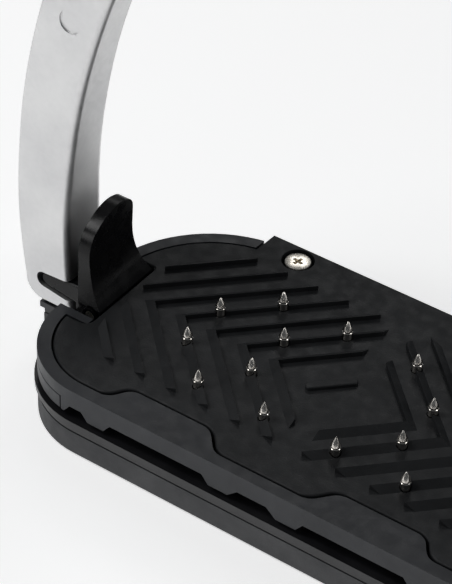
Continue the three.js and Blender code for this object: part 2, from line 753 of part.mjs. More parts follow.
function archCrown() {
  const cut = knuckleRadius + gap;
  const deep = 2 * footHalfDepth;
  const tangSlot = tangHalf + gap;
  let crown = archBlank().subtract(leftOf(gap / 2));
  crown = crown.subtract(hingeDisc(cut, -tangSlot, tangSlot));
  [1, -1].forEach((side) => {
    const ys = side > 0 ? [tangSlot, crownHalfDepth] : [-crownHalfDepth, -tangSlot];
    crown = crown.add(hingeDisc(knuckleRadius, ys[0], ys[1]));
  });
  // the tang swings out through this opening
  crown = crown.subtract(hingeBlock(0, deep, 0, cut, tangSlot));
  crown = crown.subtract(hingeDisc(hingePinRadius + gap, -deep, deep));
  const lugTop = lugBottom + lugHeight;
  crown = crown.add(box(legInner - lugReach, legInner + lugRoot, -lugHalf, lugHalf, lugBottom, lugTop));
  crown = crown.subtract(deckTravelSpace());
  boltPlaces(1).forEach(([x, y]) => {
    crown = crown.subtract(countersinkHole(x, y, boltHead, boltRadius, boltEnd + gap));
  });
  return largest(crown);
}

// Nothing stands under the deck's plate at full travel.
function deckTravelSpace() {
  const left = -leverBayEdge - gap;
  return box(left, legInner - gap, -2 * lugHalf, 2 * lugHalf, plateBottom - deckTravel - gap, plateTop);
}

function branchPin() {
  const reach = crownHalfDepth + gap + pinHeadHeight;
  const seat = reach - pinHeadHeight;
  const rim = hingePinRadius + pinHeadRim;
  const shank = rod(hinge.x, hinge.z, hingePinRadius, -reach, reach, 20);
  const frontHead = rod(hinge.x, hinge.z, rim, -reach, -seat, 20);
  return shank.add(frontHead).add(rod(hinge.x, hinge.z, rim, seat, reach, 20));
}

// ---- Latch and lever ----
function latchBlock() {
  const outer = -legInner + latchSetback;
  const shelfTop = midTop + shelfHeight;
  const earX = leverPivotX;
  const lug = box(outer, -legInner + lugReach, -lugHalf, lugHalf, lugBottom, lugBottom + lugHeight);
  let block = lug.subtract(deckTravelSpace());
  block = block.add(box(outer, earX + leverEar, -earOut, earOut, midTop + gap, shelfTop));
  const root = shelfTop - gap;
  const postTop = hookTop - postDrop;
  block = block.add(box(outer, outer + latchPost, -tongueHalf, tongueHalf, root, postTop));
  block = block.add(tongue());
  [1, -1].forEach((side) => {
    const ys = side > 0 ? [earIn, earOut] : [-earOut, -earIn];
    block = block.add(box(earX - leverEar, earX + leverEar, ys[0], ys[1], root, leverPivotHeight));
    block = block.add(rod(earX, leverPivotHeight, leverEar, ys[0], ys[1], 20));
  });
  block = block.subtract(rod(earX, leverPivotHeight, leverPinRadius + gap, -beyond, beyond, 16));
  boltPlaces(-1).forEach(([x, y]) => {
    block = block.subtract(countersinkHole(x, y, boltHead, boltRadius, boltEnd + gap));
  });
  return largest(block);
}

// The tongue follows the slot, one gap inside it.
function tongue() {
  const tip = hookEnd + tongueTipGap;
  const root = -legInner + latchSetback + latchPost / 2;
  const start = tip + hookRound;
  const low = (x) => hookFloor + gap - hookWidened(x, hookFlare);
  const high = (x) => hookTop - gap + hookWidened(x, hookTopFlare);
  const shape = new THREE.Shape();
  shape.moveTo(root, low(root));
  shape.lineTo(root, high(root));
  shape.lineTo(start, high(start));
  shape.quadraticCurveTo(tip, high(tip), tip, (hookFloor + hookTop) / 2);
  shape.quadraticCurveTo(tip, low(tip), start, low(start));
  shape.closePath();
  return toSolid(upright(shape, tongueHalf, 0.6));
}

function leverProfile() {
  const inner = -(deckHalfLength - leverSetback);
  const outer = inner - leverThickness;
  const px = leverPivotX;
  const pz = leverPivotHeight;
  const shape = new THREE.Shape();
  shape.absarc(px, pz, leverBarrel, Math.PI, Math.PI * 2, false);
  shape.lineTo(px + leverBarrel, pz + 2);
  shape.quadraticCurveTo(inner + 0.4, pz + 5, inner, pz + 12);
  shape.lineTo(inner, leverTop + 2);
  shape.lineTo(outer, leverTop + 2);
  shape.lineTo(outer, pz + 8);
  shape.quadraticCurveTo(outer + 0.1, pz + 4, px - leverBarrel, pz);
  shape.closePath();
  return toSolid(upright(shape, leverFootHalf + 1, 0));
}

// The lever seen along the tread: a broad foot, a narrower blade and a rounded head.
function leverFace() {
  const f = leverFootHalf;
  const h = leverHalf;
  const z0 = leverPivotHeight;
  const top = leverTop;
  const shape = new THREE.Shape();
  shape.moveTo(-f, z0 - 6);
  shape.lineTo(f, z0 - 6);
  shape.lineTo(f, z0 + 2);
  shape.quadraticCurveTo(h, z0 + 7, h - 0.2, z0 + 14);
  shape.lineTo(h, top - 4);
  shape.quadraticCurveTo(h + 0.1, top - 1.2, h - 3, top - 0.5);
  shape.quadraticCurveTo(1, top + 0.8, -h / 2, top - 2.2);
  shape.quadraticCurveTo(-h - 0.4, top - 4.6, -h, top - 10);
  shape.quadraticCurveTo(-h + 0.2, z0 + 6, -f, z0 + 2);
  shape.closePath();
  const options = { depth: deckHalfLength, bevelEnabled: false, curveSegments: 8 };
  const geometry = new THREE.ExtrudeGeometry(shape, options);
  geometry.rotateX(Math.PI / 2);
  geometry.rotateZ(Math.PI / 2);
  geometry.translate(-1.2 * deckHalfLength, 0, 0);
  return toSolid(geometry);
}

function releaseLever() {
  let lever = leverProfile().intersect(leverFace());
  const px = leverPivotX;
  const pz = leverPivotHeight;
  const clear = leverEar + gap + 0.1;
  const around = 3 * leverEar;
  [1, -1].forEach((side) => {
    const ys = side > 0 ? [leverBarrelHalf, beyond] : [-beyond, -leverBarrelHalf];
    lever = lever.subtract(rod(px, pz, clear, ys[0], ys[1], 20));
    lever = lever.subtract(box(px - around, px + around, ys[0], ys[1], pz - around, pz + 1));
  });
  lever = lever.subtract(rod(px, pz, leverPinRadius + gap, -beyond, beyond, 16));
  lever = lever.subtract(rod(px, pz, leverBarrel + gap, -springHalf, springHalf, 20));
  lever = lever.subtract(box(px - around, px + around, -springHalf, springHalf, pz - around, pz));
  return largest(lever);
}

// A torsion spring on the lever's pin.
function leverSpring() {
  const coil = (leverPinRadius + leverBarrel + springWire) / 2;
  const reach = springHalf - springWire - gap;
  class Coil extends THREE.Curve {
    getPoint(t, target = new THREE.Vector3()) {
      const a = t * springTurns * 2 * Math.PI;
      const y = THREE.MathUtils.lerp(-reach, reach, t);
      return target.set(leverPivotX + coil * Math.cos(a), y, leverPivotHeight + coil * Math.sin(a));
    }
  }
  const section = new THREE.Shape();
  section.absarc(0, 0, springWire, 0, Math.PI * 2, false);
  const options = { steps: 36, extrudePath: new Coil(), bevelEnabled: false, curveSegments: 3 };
  return toSolid(new THREE.ExtrudeGeometry(section, options));
}

// ---- Assembly ----
const stirrup = new THREE.Group();
const bodies = {};
['base', 'deck', 'branch', 'lever'].forEach((name) => {
  bodies[name] = new THREE.Group();
  stirrup.add(bodies[name]);
});

function place(body, name, solid, finish) {
  const mesh = new THREE.Mesh(toGeometry(solid), finishes[finish]());
  mesh.name = name;
  bodies[body].add(mesh);
}

place('base', 'base_shell', baseShell(), 'greyPolymer');
place('base', 'mid_plate', midPlate(), 'satinBlack');
place('base', 'arch_crown', archCrown(), 'aluminium');
place('base', 'branch_pin', branchPin(), 'steel');
place('base', 'latch_block', latchBlock(), 'satinBlack');
const leverPin = rod(leverPivotX, leverPivotHeight, leverPinRadius, -leverPinHalf, leverPinHalf, 16);
place('base', 'lever_pin', leverPin, 'steel');
place('base', 'lever_spring', leverSpring(), 'steel');

const upwards = (x, y, headRadius, radius, end) => countersunk(x, y, gap, headRadius, radius, end - gap, 1);
let count = 0;
eachCorner(screwX, screwY, (x, y) => {
  count += 1;
  place('base', `base_screw_${count}`, upwards(x, y, screwHead, screwRadius, screwEnd), 'steel');
});
boltPlaces(1).forEach(([x, y], i) => {
  place('base', `arch_bolt_${i + 1}`, upwards(x, y, boltHead, boltRadius, boltEnd), 'steel');
});
boltPlaces(-1).forEach(([x, y], i) => {
  place('base', `latch_bolt_${i + 1}`, upwards(x, y, boltHead, boltRadius, boltEnd), 'steel');
});

count = 0;
eachBumper((x, y) => {
  count += 1;
  place('base', `bumper_${count}`, bumper(x, y), 'rubber');
  place('deck', `shoulder_screw_${count}`, shoulderScrew(x, y), 'steel');
});

const deck = deckParts();
place('deck', 'deck_frame', deck.frame, 'blackPolymer');
place('deck', 'end_cap_right', deck.rightCap, 'blackPolymer');
place('deck', 'end_cap_front_left', deck.frontLeftCap, 'blackPolymer');
place('deck', 'end_cap_rear_left', deck.rearLeftCap, 'blackPolymer');
place('deck', 'tread_pad', treadPad(), 'blackPolymer');
studPlaces().forEach(([x, y], i) => {
  place('deck', `stud_${String(i + 1).padStart(2, '0')}`, stud(x, y), 'steel');
});
['right', 'left'].forEach((side) => {
  const x = side === 'right' ? padScrewX : -padScrewX;
  const top = padTop - gap;
  const length = top - padScrewEnd - gap;
  const screw = countersunk(x, padScrewY, top, padScrewHead, screwRadius, length, -1);
  place('deck', `pad_screw_${side}`, screw, 'steel');
});

place('branch', 'release_branch', releaseBranch(), 'aluminium');
place('lever', 'release_lever', releaseLever(), 'satinBlack');

export default stirrup;
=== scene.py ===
# Looks for the stirrup iron: finer shapes, finishes, floor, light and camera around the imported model.
import json
import math

import bmesh
import bpy
from mathutils import Matrix, Vector


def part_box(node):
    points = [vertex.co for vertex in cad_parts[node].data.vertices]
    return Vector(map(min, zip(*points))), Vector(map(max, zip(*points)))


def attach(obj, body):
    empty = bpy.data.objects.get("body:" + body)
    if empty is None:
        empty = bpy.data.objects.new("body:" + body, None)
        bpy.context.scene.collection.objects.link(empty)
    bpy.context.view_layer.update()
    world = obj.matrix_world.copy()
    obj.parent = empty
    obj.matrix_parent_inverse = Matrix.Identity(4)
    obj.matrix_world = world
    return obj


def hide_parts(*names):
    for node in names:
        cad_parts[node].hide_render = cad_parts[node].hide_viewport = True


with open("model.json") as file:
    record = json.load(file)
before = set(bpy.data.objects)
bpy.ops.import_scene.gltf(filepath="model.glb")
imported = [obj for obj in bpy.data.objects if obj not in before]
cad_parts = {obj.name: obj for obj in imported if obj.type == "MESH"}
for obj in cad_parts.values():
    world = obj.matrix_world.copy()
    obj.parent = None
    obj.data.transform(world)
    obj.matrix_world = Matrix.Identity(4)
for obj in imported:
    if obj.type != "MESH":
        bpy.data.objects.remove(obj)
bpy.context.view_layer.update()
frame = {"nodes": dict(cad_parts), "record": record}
nodes = frame["nodes"]
mm = 0.001


# Finishes
def newMaterial(name, color, roughness, metallic=0.0, specular=0.5):
    material = bpy.data.materials.new(name)
    material.use_nodes = True
    shader = material.node_tree.nodes["Principled BSDF"]
    shader.inputs["Base Color"].default_value = (*color, 1)
    shader.inputs["Roughness"].default_value = roughness
    shader.inputs["Metallic"].default_value = metallic
    shader.inputs["Specular IOR Level"].default_value = specular
    return material, shader


def addNoise(material, scale, detail=4.0, stretch=(1, 1, 1)):
    tree = material.node_tree
    place = tree.nodes.new("ShaderNodeTexCoord")
    mapping = tree.nodes.new("ShaderNodeMapping")
    noise = tree.nodes.new("ShaderNodeTexNoise")
    mapping.inputs["Scale"].default_value = stretch
    noise.inputs["Scale"].default_value = scale
    noise.inputs["Detail"].default_value = detail
    tree.links.new(place.outputs["Object"], mapping.inputs["Vector"])
    tree.links.new(mapping.outputs["Vector"], noise.inputs["Vector"])
    return noise.outputs["Fac"]


def rampTo(material, value, target, low, high, start=0.35, end=0.65):
    tree = material.node_tree
    ramp = tree.nodes.new("ShaderNodeValToRGB")
    ends = [v if isinstance(v, tuple) else (v, v, v) for v in (low, high)]
    ramp.color_ramp.elements[0].position = start
    ramp.color_ramp.elements[0].color = (*ends[0], 1)
    ramp.color_ramp.elements[1].position = end
    ramp.color_ramp.elements[1].color = (*ends[1], 1)
    tree.links.new(value, ramp.inputs["Fac"])
    tree.links.new(ramp.outputs["Color"], target)


def bumpFrom(material, value, shader, strength, distance, previous=None):
    tree = material.node_tree
    bump = tree.nodes.new("ShaderNodeBump")
    bump.inputs["Strength"].default_value = strength
    bump.inputs["Distance"].default_value = distance
    tree.links.new(value, bump.inputs["Height"])
    if previous:
        tree.links.new(previous, bump.inputs["Normal"])
    tree.links.new(bump.outputs["Normal"], shader.inputs["Normal"])
    return bump.outputs["Normal"]


def mouldedPolymer(name, dark, light, roughness, grain, grainDepth, specular=0.5):
    material, shader = newMaterial(name, dark, roughness, specular=specular)
    patches = addNoise(material, 90, 5)
    rampTo(material, patches, shader.inputs["Base Color"], dark, light)
    worn = addNoise(material, 350, 3)
    rampTo(material, worn, shader.inputs["Roughness"], roughness - 0.06, roughness + 0.06)
    bumpFrom(material, addNoise(material, grain, 6), shader, 0.5, grainDepth)
    return material


def blastedAluminium(name):
    material, shader = newMaterial(name, (0.72, 0.72, 0.72), 0.42, metallic=1.0)
    patches = addNoise(material, 60, 5)
    rampTo(material, patches, shader.inputs["Base Color"], (0.66, 0.66, 0.665), (0.74, 0.74, 0.74))
    rampTo(material, addNoise(material, 900, 3), shader.inputs["Roughness"], 0.40, 0.50)
    fine = bumpFrom(material, addNoise(material, 4200, 3), shader, 0.35, 0.00002)
    bumpFrom(material, addNoise(material, 700, 4), shader, 0.25, 0.00003, fine)
    return material


def brightMetal(name, low, high, roughness):
    material, shader = newMaterial(name, high, roughness, metallic=1.0)
    rampTo(material, addNoise(material, 1500, 4), shader.inputs["Base Color"], low, high)
    rampTo(material, addNoise(material, 2500, 3), shader.inputs["Roughness"], roughness - 0.05, roughness + 0.08)
    bumpFrom(material, addNoise(material, 3000, 2, (1, 1, 0.1)), shader, 0.15, 0.00002)
    return material


# dark and light colour, roughness, grain scale, grain depth in metres, specular
polymers = {
    "pad_polymer": ("padPolymer", (0.010, 0.0108, 0.012), (0.016, 0.017, 0.0185), 0.56, 2600, 0.00009, 0.36),
    "rim_polymer": ("rimPolymer", (0.029, 0.0305, 0.034), (0.038, 0.040, 0.0445), 0.42, 3200, 0.00003, 0.26),
    "black_alloy": ("blackCoating", (0.009, 0.009, 0.0105), (0.014, 0.014, 0.016), 0.36, 2600, 0.00002, 0.5),
    "satin_polymer": ("satinBlack", (0.0025, 0.0025, 0.003), (0.004, 0.004, 0.0045), 0.27, 2400, 0.00001, 0.2),
    "shell_polymer": ("shellPolymer", (0.040, 0.041, 0.044), (0.060, 0.061, 0.064), 0.72, 1900, 0.00010, 0.5),
    "elastomer": ("elastomer", (0.010, 0.010, 0.010), (0.016, 0.016, 0.017), 0.80, 1500, 0.00005, 0.5),
}
finishes = {"aluminium": blastedAluminium("blastedAluminium")}
for slot, spec in polymers.items():
    finishes[slot] = mouldedPolymer(*spec)
finishes["bright_steel"] = brightMetal("brightSteel", (0.74, 0.70, 0.64), (0.86, 0.82, 0.77), 0.16)
finishes["screw_steel"] = brightMetal("screwSteel", (0.86, 0.81, 0.72), (0.93, 0.88, 0.79), 0.30)
slots = {part["node"]: part["material_slot"] for part in frame["record"]["subparts"]}
bodies = {node: body for body, members in frame["record"]["behaviour"]["bodies"].items() for node in members}

for name, node in nodes.items():
    node.data.materials.clear()
    node.data.materials.append(finishes[slots[name]])
print("finishes made")


# Common shaping
def cadCopy(node):
    bm = bmesh.new()
    bm.from_mesh(nodes[node].data)
    bmesh.ops.remove_doubles(bm, verts=bm.verts, dist=0.004 * mm)
    bmesh.ops.dissolve_limit(bm, angle_limit=math.radians(0.6), verts=bm.verts, edges=bm.edges)
    return bm


def finishPiece(name, bm, node, bevel=0.0, segments=3, smooth=35, angle=30):
    for edge in bm.edges:
        edge.smooth = edge.calc_face_angle(0) < math.radians(smooth)
    for face in bm.faces:
        face.smooth = True
    mesh = bpy.data.meshes.new(name)
    bm.to_mesh(mesh)
    bm.free()
    piece = bpy.data.objects.new(name, mesh)
    bpy.context.scene.collection.objects.link(piece)
    mesh.materials.append(finishes[slots[node]])
    if bevel:
        rounding = piece.modifiers.new("rounding", "BEVEL")
        rounding.width = bevel
        rounding.segments = segments
        rounding.limit_method = "ANGLE"
        rounding.angle_limit = math.radians(angle)
        rounding.harden_normals = True
    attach(piece, bodies[node])
    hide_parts(node)
    return piece


def weighted(piece):
    evening = piece.modifiers.new("evening", "WEIGHTED_NORMAL")
    evening.keep_sharp = True
    evening.weight = 60


rounded = {
    "deck_frame": 0.35,
    "end_cap_right": 0.2,
    "end_cap_front_left": 0.2,
    "end_cap_rear_left": 0.2,
    "mid_plate": 0.45,
    "base_shell": 0.25,
    "latch_block": 0.3,
    "release_lever": 0.7,
}
for node, width in rounded.items():
    weighted(finishPiece(f"{node}Skin", cadCopy(node), node, bevel=width * mm))
print("pieces rounded")


# Pen strokes: each leaves the last vertex of a wire
def lineTo(bm, tip, place):
    end = bmesh.ops.extrude_vert_indiv(bm, verts=[tip])["verts"][0]
    end.co = [value * mm for value in place]
    return end


def arcTo(bm, tip, centre, degrees, steps, axis=(0, 0, 1)):
    middle = [value * mm for value in centre]
    turned = bmesh.ops.spin(
        bm, geom=[tip], cent=middle, axis=axis, dvec=(0, 0, 0), angle=math.radians(degrees), steps=steps, use_merge=False
    )
    return [item for item in turned["geom_last"] if isinstance(item, bmesh.types.BMVert)][0]


def closedFace(bm, roundings):
    # joins the two ends, fills the wire, and rounds the corners that are given with a size in mm
    bmesh.ops.remove_doubles(bm, verts=bm.verts, dist=0.002 * mm)
    ends = [v for v in bm.verts if len(v.link_edges) == 1]
    if ends:
        bm.edges.new(ends)
    bmesh.ops.contextual_create(bm, geom=bm.edges[:])
    for place, size in roundings:
        corner = min(bm.verts, key=lambda v: (v.co - Vector(place) * mm).length)
        bmesh.ops.bevel(bm, geom=[corner], affect="VERTICES", offset=size * mm, segments=6, profile=0.5, material=-1)
    return bm.faces[:]


def thickened(bm, faces, along):
    grown = bmesh.ops.extrude_face_region(bm, geom=faces)
    moved = [item for item in grown["geom"] if isinstance(item, bmesh.types.BMVert)]
    bmesh.ops.translate(bm, vec=Vector(along) * mm, verts=moved)
    bmesh.ops.recalc_face_normals(bm, faces=bm.faces)


def joinInto(bm, other):
    mesh = bpy.data.meshes.new("joined")
    other.to_mesh(mesh)
    other.free()
    bm.from_mesh(mesh)
    bpy.data.meshes.remove(mesh)


def appliedSolid(name, bm, cutters, operation="DIFFERENCE"):
    # joins or cuts with other solids and gives the result back as a bmesh
    scene = bpy.context.scene.collection
    made = []
    for index, shape in enumerate([bm] + cutters):
        mesh = bpy.data.meshes.new(f"{name}Work{index}")
        shape.to_mesh(mesh)
        shape.free()
        made.append(bpy.data.objects.new(f"{name}Work{index}", mesh))
        scene.objects.link(made[-1])
    for cutter in made[1:]:
        cut = made[0].modifiers.new("cut", "BOOLEAN")
        cut.object = cutter
        cut.operation = operation
        cut.solver = "EXACT"
    evaluated = made[0].evaluated_get(bpy.context.evaluated_depsgraph_get())
    result = bmesh.new()
    result.from_mesh(evaluated.to_mesh())
    evaluated.to_mesh_clear()
    for piece in made:
        mesh = piece.data
        bpy.data.objects.remove(piece)
        bpy.data.meshes.remove(mesh)
    return result


def block(low, high):
    bm = bmesh.new()
    bmesh.ops.create_cube(bm, size=1)
    size = [(b - a) * mm for a, b in zip(low, high)]
    centre = [(a + b) / 2 * mm for a, b in zip(low, high)]
    bmesh.ops.scale(bm, vec=size, verts=bm.verts)
    bmesh.ops.translate(bm, vec=centre, verts=bm.verts)
    return bm


def post(x, y, radius, low, high, segments=40):
    bm = bmesh.new()
    bmesh.ops.create_cone(
        bm, cap_ends=True, segments=segments, radius1=radius * mm, radius2=radius * mm, depth=(high - low) * mm
    )
    bmesh.ops.translate(bm, vec=(x * mm, y * mm, (low + high) / 2 * mm), verts=bm.verts)
    return bm


# Tread pad
padSetup = {
    "top": 17.85,
    "edge": 60.9,  # half length
    "front": -29.0,
    "frontRound": 16.1,
    "rearRound": 25.5,
    "rearCentre": 4.6,  # y of the rear corners' centres
    "block": 41.0,  # half length of the rear block
    "rear": 36.0,
    "bayEdge": -55.1,
    "bayFront": -14.0,
    "bayRear": 10.5,
    "rail": [(38.8, -29.0), (35.6, -24.2), (15.2, -24.2), (10.8, -29.4)],  # right half, from the end inwards
    "bend": 2.0,
    "softEdge": 0.45,
    "studHole": 1.3,
    "screwHole": 3.75,
    "screwSeat": 2.2,  # the recess's floor under the screw's top
    "screwBore": 1.6,
    "holeTop": 30,  # cutters end well above the pad
}
ribs = {
    "first": 15.7,
    "pitch": 8.0,
    "count": 7,
    "width": 1.84,
    "height": 1.2,
    "sink": 0.4,
    "crest": 0.14,
    "centre": 2.9,
    "right": 56.9,
    "left": 52.9,
    "rear": 25.4,
    "front": 20.2,
}
bar = {
    "place": (-3.0, 0.95),
    "half": 5.6,
    "halfWidth": 1.0,
    "sink": 0.4,
    "rise": 0.9,
    "turn": 45,
    "endRound": 0.9,
    "topRound": 0.3,
}
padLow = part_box("tread_pad")[0][2] / mm


def padSlab():
    p = padSetup
    rearX = p["edge"] - p["rearRound"]
    frontX, frontY = p["edge"] - p["frontRound"], p["front"] + p["frontRound"]
    blockSweep = math.degrees(math.acos((p["block"] + 0.3 - rearX) / p["rearRound"]))
    baySweep = blockSweep - math.degrees(math.asin((p["bayRear"] - p["rearCentre"]) / p["rearRound"]))
    bayTurn = math.degrees(math.asin((p["bayFront"] - frontY) / p["frontRound"]))
    bm = bmesh.new()
    tip = bm.verts.new((p["edge"] * mm, p["rearCentre"] * mm, padLow * mm))
    tip = arcTo(bm, tip, (rearX, p["rearCentre"], padLow), blockSweep, 30)
    tip = lineTo(bm, tip, (p["block"], p["rear"], padLow))
    tip = lineTo(bm, tip, (-p["block"], p["rear"], padLow))
    height = p["rearCentre"] + p["rearRound"] * math.sin(math.radians(blockSweep))
    tip = lineTo(bm, tip, (-p["block"] - 0.3, height, padLow))
    tip = arcTo(bm, tip, (-rearX, p["rearCentre"], padLow), baySweep, 24)
    tip = lineTo(bm, tip, (p["bayEdge"], p["bayRear"], padLow))
    tip = lineTo(bm, tip, (p["bayEdge"], p["bayFront"], padLow))
    bayOut = -frontX - p["frontRound"] * math.cos(math.radians(bayTurn))
    tip = lineTo(bm, tip, (bayOut, p["bayFront"], padLow))
    tip = arcTo(bm, tip, (-frontX, frontY, padLow), 90 + bayTurn, 22)
    for x, y in p["rail"]:
        tip = lineTo(bm, tip, (-x, y, padLow))
    for x, y in reversed(p["rail"]):
        tip = lineTo(bm, tip, (x, y, padLow))
    tip = lineTo(bm, tip, (frontX, p["front"], padLow))
    tip = arcTo(bm, tip, (frontX, frontY, padLow), 90, 22)
    bends = [((side * x, y, padLow), p["bend"]) for x, y in p["rail"] for side in (-1, 1)]
    bends += [((p["bayEdge"], p["bayRear"], padLow), 0.8), ((p["bayEdge"], p["bayFront"], padLow), 2.0)]
    thickened(bm, closedFace(bm, bends), (0, 0, p["top"] - padLow))
    edges = [e for e in bm.edges if min(v.co.z for v in e.verts) > (p["top"] - 0.01) * mm]
    bmesh.ops.bevel(
        bm, geom=edges, affect="EDGES", offset=p["softEdge"] * mm, segments=4, profile=0.5, material=-1, clamp_overlap=False
    )
    return bm


def ribArm(corner, side, half):
    # a wedge with its steep face towards the centre, cut off square at its limits
    r = ribs
    arm = block((0, -70, -r["sink"]), (r["width"], 70, r["height"]))
    for v in arm.verts:
        if v.co.x > 0.5 * r["width"] * mm and v.co.z > 0:
            v.co.z = 0
    crest = [e for e in arm.edges if all(v.co.z > 0.9 * r["height"] * mm for v in e.verts)]
    bmesh.ops.bevel(arm, geom=crest, affect="EDGES", offset=r["crest"] * mm, segments=2, profile=0.5, material=-1)
    turn = Matrix.Rotation(math.atan2(half, side), 3, "Z")
    bmesh.ops.rotate(arm, verts=arm.verts, cent=(0, 0, 0), matrix=turn)
    bmesh.ops.translate(arm, verts=arm.verts, vec=(side * corner * mm, 0, padSetup["top"] * mm))
    xEnd = r["right"] if side > 0 else r["left"]
    yEnd = r["rear"] if half > 0 else r["front"]
    planes = [
        ((side * r["centre"], 0, 0), (-side, 0, 0)),
        ((side * xEnd, 0, 0), (side, 0, 0)),
        ((0, 0, 0), (0, -half, 0)),
        ((0, half * yEnd, 0), (0, half, 0)),
    ]
    for place, facing in planes:
        geom = arm.verts[:] + arm.edges[:] + arm.faces[:]
        bmesh.ops.bisect_plane(
            arm, geom=geom, dist=1e-7, plane_co=Vector(place) * mm, plane_no=facing, clear_outer=True
        )
        bmesh.ops.holes_fill(arm, edges=[e for e in arm.edges if e.is_boundary], sides=0)
    return arm


studPlaces = []
for index in range(1, 17):
    low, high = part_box(f"stud_{index:02d}")
    studPlaces.append(((low[0] + high[0]) / 2 / mm, (low[1] + high[1]) / 2 / mm, low[2] / mm - 0.3))


def studHole(place):
    x, y, foot = place
    return post(x, y, padSetup["studHole"], foot, padSetup["holeTop"], 28)


def studsOn(corner, side, half):
    # the studs that stand on one rib arm
    reach = padSetup["studHole"] + 0.1
    found = []
    for place in studPlaces:
        across = (side * place[0] + half * place[1] - corner) / math.sqrt(2)
        if side * place[0] > 0 and half * place[1] > 0 and -reach < across < ribs["width"] + reach:
            found.append(place)
    return found


# Every cut takes one closed solid from another, so that no cutter or part overlaps itself
whole = appliedSolid("pad", padSlab(), [studHole(place) for place in studPlaces])
for side in ("right", "left"):
    low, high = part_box(f"pad_screw_{side}")
    x, y = (low[0] + high[0]) / 2 / mm, (low[1] + high[1]) / 2 / mm
    seat = high[2] / mm - padSetup["screwSeat"]
    recess = post(x, y, padSetup["screwHole"], seat, padSetup["holeTop"], 56)
    bore = post(x, y, padSetup["screwBore"], padLow - 1, padSetup["holeTop"], 28)
    whole = appliedSolid("pad", appliedSolid("pad", whole, [recess]), [bore])
for index in range(ribs["count"]):
    for side in (1, -1):
        for half in (1, -1):
            corner = ribs["first"] + index * ribs["pitch"]
            arm = ribArm(corner, side, half)
            for place in studsOn(corner, side, half):
                arm = appliedSolid("rib", arm, [studHole(place)])
            joinInto(whole, arm)
low = (-bar["half"], -bar["halfWidth"], -bar["sink"])
handle = block(low, (bar["half"], bar["halfWidth"], bar["rise"]))
upright = [e for e in handle.edges if abs(e.verts[0].co.z - e.verts[1].co.z) > 0.5 * mm]
edgeBevel = {"affect": "EDGES", "profile": 0.5, "material": -1}
bmesh.ops.bevel(handle, geom=upright, offset=bar["endRound"] * mm, segments=6, **edgeBevel)
crest = [e for e in handle.edges if all(v.co.z > (bar["rise"] - 0.01) * mm for v in e.verts)]
bmesh.ops.bevel(handle, geom=crest, offset=bar["topRound"] * mm, segments=3, **edgeBevel)
turn = Matrix.Rotation(math.radians(bar["turn"]), 3, "Z")
bmesh.ops.rotate(handle, verts=handle.verts, cent=(0, 0, 0), matrix=turn)
x, y = bar["place"]
bmesh.ops.translate(handle, verts=handle.verts, vec=(x * mm, y * mm, padSetup["top"] * mm))
joinInto(whole, handle)
weighted(finishPiece("treadPadSkin", whole, "tread_pad"))
print("pad shaped")


# Studs
stud = {"radius": 1.14, "tip": 0.12, "steps": 32}


def spun(profile, x, y, steps):
    bm = bmesh.new()
    chain = [bm.verts.new((r * mm, 0, z * mm)) for r, z in profile]
    edges = [bm.edges.new(pair) for pair in zip(chain, chain[1:])]
    bmesh.ops.spin(
        bm, geom=chain + edges, cent=(0, 0, 0), axis=(0, 0, 1), dvec=(0, 0, 0), angle=math.tau, steps=steps, use_merge=True
    )
    bmesh.ops.remove_doubles(bm, verts=bm.verts, dist=0.001 * mm)
    bmesh.ops.recalc_face_normals(bm, faces=bm.faces)
    bmesh.ops.translate(bm, verts=bm.verts, vec=(x, y, 0))
    return bm


for index in range(1, 17):
    node = f"stud_{index:02d}"
    low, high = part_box(node)
    x, y = (low[0] + high[0]) / 2, (low[1] + high[1]) / 2
    foot, tip = low[2] / mm, high[2] / mm
    r = stud["radius"]
    profile = [
        (0, foot),
        (r, foot),
        (r, tip - 2.75),
        (r - 0.12, tip - 2.62),
        (r - 0.12, tip - 2.42),
        (r, tip - 2.3),
        (r - 0.03, tip - 2.18),
        (stud["tip"], tip - 0.12),
        (0, tip),
    ]
    finishPiece(f"{node}Turned", spun(profile, x, y, stud["steps"]), node, smooth=28)
print("studs turned")


# Pad screws with a cross recess
screw = {"radius": 3.0, "rim": 0.45, "edge": 0.25, "armHalf": 1.75, "armWidth": 0.5, "depth": 1.2}


def roundBar(x, z, radius, low, high, segments=48):
    bm = bmesh.new()
    bmesh.ops.create_cone(
        bm, cap_ends=True, segments=segments, radius1=radius * mm, radius2=radius * mm, depth=(high - low) * mm
    )
    bmesh.ops.rotate(bm, verts=bm.verts, cent=(0, 0, 0), matrix=Matrix.Rotation(math.pi / 2, 3, "X"))
    bmesh.ops.translate(bm, vec=(x * mm, (low + high) / 2 * mm, z * mm), verts=bm.verts)
    return bm


for side, turnBy in (("right", 28), ("left", -12)):
    node = f"pad_screw_{side}"
    low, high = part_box(node)
    x, y = (low[0] + high[0]) / 2, (low[1] + high[1]) / 2
    foot, top = low[2] / mm, high[2] / mm
    r = screw["radius"]
    e = screw["edge"]
    profile = [
        (0, foot),
        (1.3, foot),
        (1.3, top - 1.9),
        (r, top - screw["rim"]),
        (r, top - e),
        (r - 0.3 * e, top - 0.3 * e),
        (r - e, top),
        (0, top),
    ]
    body = spun(profile, 0, 0, 64)
    arms = []
    for turnedTo in (0, 90):
        low = (-screw["armHalf"], -screw["armWidth"], top - screw["depth"])
        arm = block(low, (screw["armHalf"], screw["armWidth"], top + 1))
        for v in arm.verts:
            if v.co.z < top * mm:
                v.co.x *= 0.45
                v.co.y *= 0.6
        matrix = Matrix.Rotation(math.radians(turnBy + turnedTo), 3, "Z")
        bmesh.ops.rotate(arm, verts=arm.verts, cent=(0, 0, 0), matrix=matrix)
        arms.append(arm)
    head = appliedSolid(node, body, arms)
    bmesh.ops.translate(head, vec=(x, y, 0), verts=head.verts)
    weighted(finishPiece(f"{node}Cross", head, node, smooth=30))
print("screws cut")


